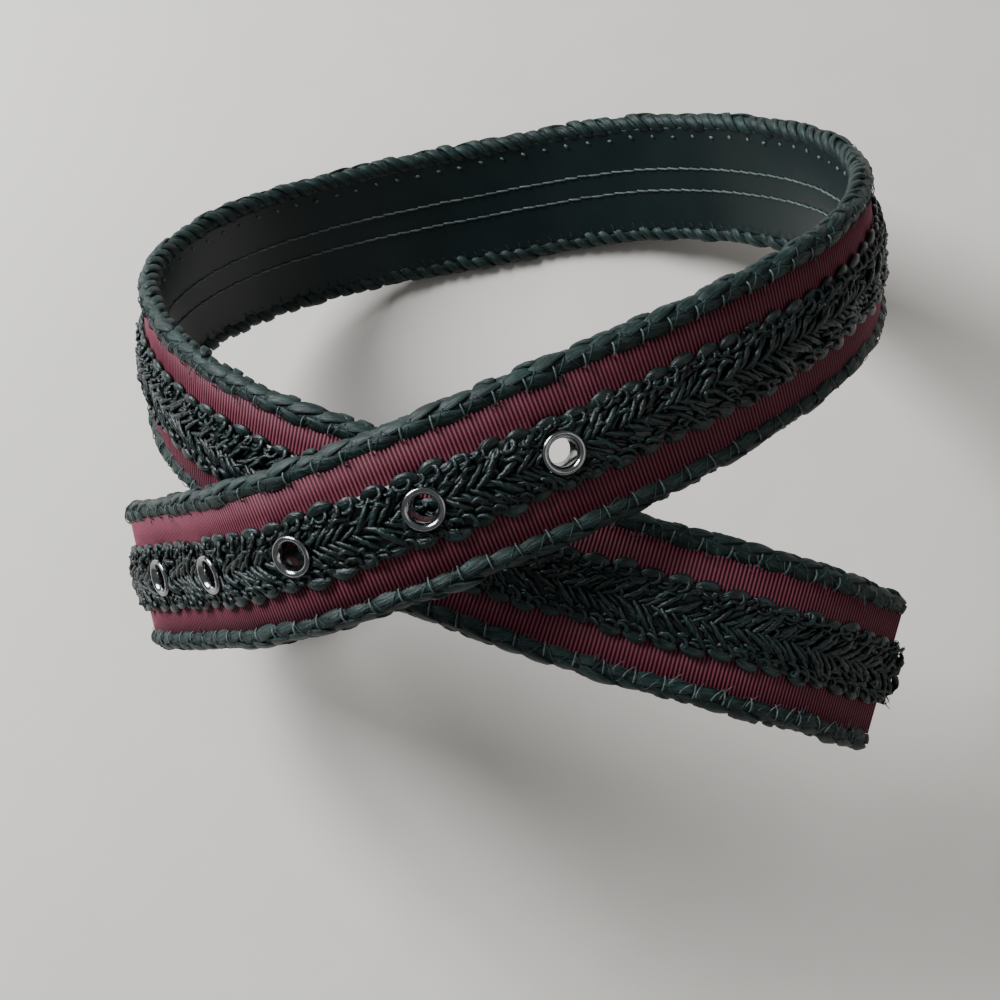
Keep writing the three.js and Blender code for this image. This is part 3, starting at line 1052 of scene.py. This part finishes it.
# %% Frayed ends of the braid
FRAY_PITCH = 0.42 * MM
fray_motif = tail("frayed_thread", 2.0 * MM, 1, 1.0)
for end_name, start, seed in (("open", BELT_LENGTH - 0.6 * MM, 91), ("tip", 0.6 * MM, 92)):
    frayed = row.make(
        "frayed_threads_" + end_name, guide=guide, motif=fray_motif, material=braid_cord,
        count=32, seed=seed, first=start, pitch_across=FRAY_PITCH, across=-6.4 * MM,
        overrun=5 * MM,
        level=FACE + 0.8 * MM, uneven_turn=3.1, uneven_size=0.5, uneven_place=0.5 * MM,
    )
    set_down(frayed, "braid_cord")

# %% [markdown]
# ## Eyelets
#
# An eyelet is a little tube whose two ends are rolled outwards over the belt. Both the rolled
# flanges and the tube come from one closed outline, turned round the hole's middle line.

# %% Turn the outline round the hole
EYELET_WALL = 0.5 * MM
FLANGE_TOP = BRAID_TOP + 0.05 * MM
FLANGE_FOOT = -STRAP_TOP - 1.1 * MM
EYELET_OUTLINE = [
    # radius, level: up the bore, over the front flange, down the barrel, round the back flange
    (EYELET_BORE, FLANGE_FOOT + 0.7 * MM),
    (EYELET_BORE, FLANGE_TOP - 1.30 * MM),
    (EYELET_BORE + 0.08 * MM, FLANGE_TOP - 0.95 * MM),
    (EYELET_BORE + 0.24 * MM, FLANGE_TOP - 0.55 * MM),
    (EYELET_BORE + 0.48 * MM, FLANGE_TOP - 0.22 * MM),
    (EYELET_BORE + 0.78 * MM, FLANGE_TOP - 0.04 * MM),
    (EYELET_BORE + 1.06 * MM, FLANGE_TOP),
    (EYELET_BORE + 1.32 * MM, FLANGE_TOP - 0.12 * MM),
    (EYELET_BORE + 1.48 * MM, FLANGE_TOP - 0.36 * MM),
    (EYELET_BORE + 1.52 * MM, FLANGE_TOP - 0.70 * MM),
    (EYELET_BORE + 1.40 * MM, FLANGE_TOP - 1.05 * MM),
    (EYELET_BORE + 1.10 * MM, FLANGE_TOP - 1.10 * MM),
    (EYELET_BORE + 0.85 * MM, FLANGE_TOP - 0.85 * MM),
    (EYELET_BORE + EYELET_WALL, FLANGE_TOP - 1.20 * MM),
    (EYELET_BORE + EYELET_WALL, FLANGE_FOOT + 0.9 * MM),
    (EYELET_BORE + 0.9 * MM, FLANGE_FOOT + 0.62 * MM),
    (EYELET_BORE + 1.35 * MM, FLANGE_FOOT + 0.60 * MM),
    (EYELET_BORE + 1.50 * MM, FLANGE_FOOT + 0.35 * MM),
    (EYELET_BORE + 1.20 * MM, FLANGE_FOOT + 0.05 * MM),
    (EYELET_BORE + 0.60 * MM, FLANGE_FOOT),
    (EYELET_BORE + 0.15 * MM, FLANGE_FOOT + 0.25 * MM),
]
ROUND_STEPS = 64


def turned(name, outline, place):
    """The outline turned round the belt's outward direction at a running length."""
    middle, along, wide, out = (v[0] for v in belt_frames(np.array([place])))
    middle = middle + shift
    angle = np.arange(ROUND_STEPS) * 2 * np.pi / ROUND_STEPS
    ring = np.cos(angle)[:, None] * along + np.sin(angle)[:, None] * wide
    vertices = [middle + radius * r + level * out for r in ring for radius, level in outline]
    count = len(outline)
    faces = []
    for i in range(ROUND_STEPS):
        for j in range(count):
            here, there = i * count, (i + 1) % ROUND_STEPS * count
            k = (j + 1) % count
            faces.append((here + j, here + k, there + k, there + j))
    mesh = bpy.data.meshes.new(name)
    mesh.from_pydata([tuple(v) for v in vertices], [], faces)
    mesh.polygons.foreach_set("use_smooth", [True] * len(faces))
    piece = bpy.data.objects.new(name, mesh)
    scene.collection.objects.link(piece)
    mesh.materials.append(dark_nickel)
    return piece


for number in range(1, EYELET_COUNT + 1):
    place = TIP_TO_FIRST_EYELET + (number - 1) * EYELET_PITCH
    ring = turned(f"rolled_eyelet_{number}", EYELET_OUTLINE, place)
    set_down(ring, "eyelet_metal", f"eyelet_{number}")
print("eyelets", EYELET_COUNT)

# %% [markdown]
# ## Floor, light and camera
#
# The belt stands on a plain pale floor. One large soft light stands where the window is, at the
# upper left behind the belt, with a weak one opposite. The camera looks down steeply and is a
# little tilted, as a hand-held one is.

# %% Floor
FLOOR_HALF = 3.0
floor_mesh = bpy.data.meshes.new("floor")
floor_mesh.from_pydata(
    [(-FLOOR_HALF, -FLOOR_HALF, 0), (FLOOR_HALF, -FLOOR_HALF, 0),
     (FLOOR_HALF, FLOOR_HALF, 0), (-FLOOR_HALF, FLOOR_HALF, 0)],
    [], [(0, 1, 2, 3)],
)
floor = bpy.data.objects.new("floor", floor_mesh)
scene.collection.objects.link(floor)
finish = Finish("pale_floor")
speckle = finish.noise(finish.object_place(), 60.0, 3.0)
colour = finish.mix(speckle, rgb(0.62, 0.58, 0.53), rgb(0.66, 0.62, 0.57))
floor_mesh.materials.append(finish.surface(colour, speckle * 0.1 + 0.5, speckle, 0.05 * MM))


# %% Lights
LOOKED_AT = (0, 0, 0.05)
ROOM_STRENGTH = 0.23


def soft_light(name, place, size, power, colour):
    """A square light that looks at the middle of the belt."""
    lamp = bpy.data.lights.new(name, "AREA")
    lamp.size = size
    lamp.energy = power
    lamp.color = colour
    light = bpy.data.objects.new(name, lamp)
    light.location = place
    aim = Vector(LOOKED_AT) - Vector(place)
    light.rotation_euler = aim.to_track_quat("-Z", "Y").to_euler()
    scene.collection.objects.link(light)


LAMPS = [
    # name, place, size, power, colour
    ("window", (-0.62, 0.62, 0.75), 0.6, 30.0, (0.93, 0.97, 1.0)),
    ("room", (0.9, -0.5, 0.9), 1.0, 2.8, (1.0, 0.94, 0.86)),
]
for name, place, size, power, colour in LAMPS:
    soft_light(name, place, size, power, colour)
world = bpy.data.worlds.new("room_light")
world.use_nodes = True
background = world.node_tree.nodes["Background"]
background.inputs["Color"].default_value = rgb(0.85, 0.9, 0.95)
background.inputs["Strength"].default_value = ROOM_STRENGTH
scene.world = world

# %% Camera
CAMERA_PLACE = Vector(np.array([0, -90, 374.07]) * MM + shift)
TILT = math.radians(77.105)
ROLL = math.radians(11.877)
LENS = 54.8

sin_tilt, cos_tilt = math.sin(TILT), math.cos(TILT)
sin_roll, cos_roll = math.sin(ROLL), math.cos(ROLL)
to_right = Vector((cos_roll, -sin_roll * sin_tilt, -sin_roll * cos_tilt))
to_top = Vector((sin_roll, cos_roll * sin_tilt, cos_roll * cos_tilt))
to_back = Vector((0, -cos_tilt, sin_tilt))
camera = bpy.data.objects.new("camera", bpy.data.cameras.new("camera"))
camera.data.lens = LENS
camera.data.sensor_width = 36
camera.data.clip_start = 0.01
camera.matrix_world = Matrix((to_right, to_top, to_back)).transposed().to_4x4()
camera.matrix_world.translation = CAMERA_PLACE
scene.collection.objects.link(camera)
scene.camera = camera

# %% Put the tools away and finish
for helper in (*motifs, guide):
    bpy.data.objects.remove(helper)
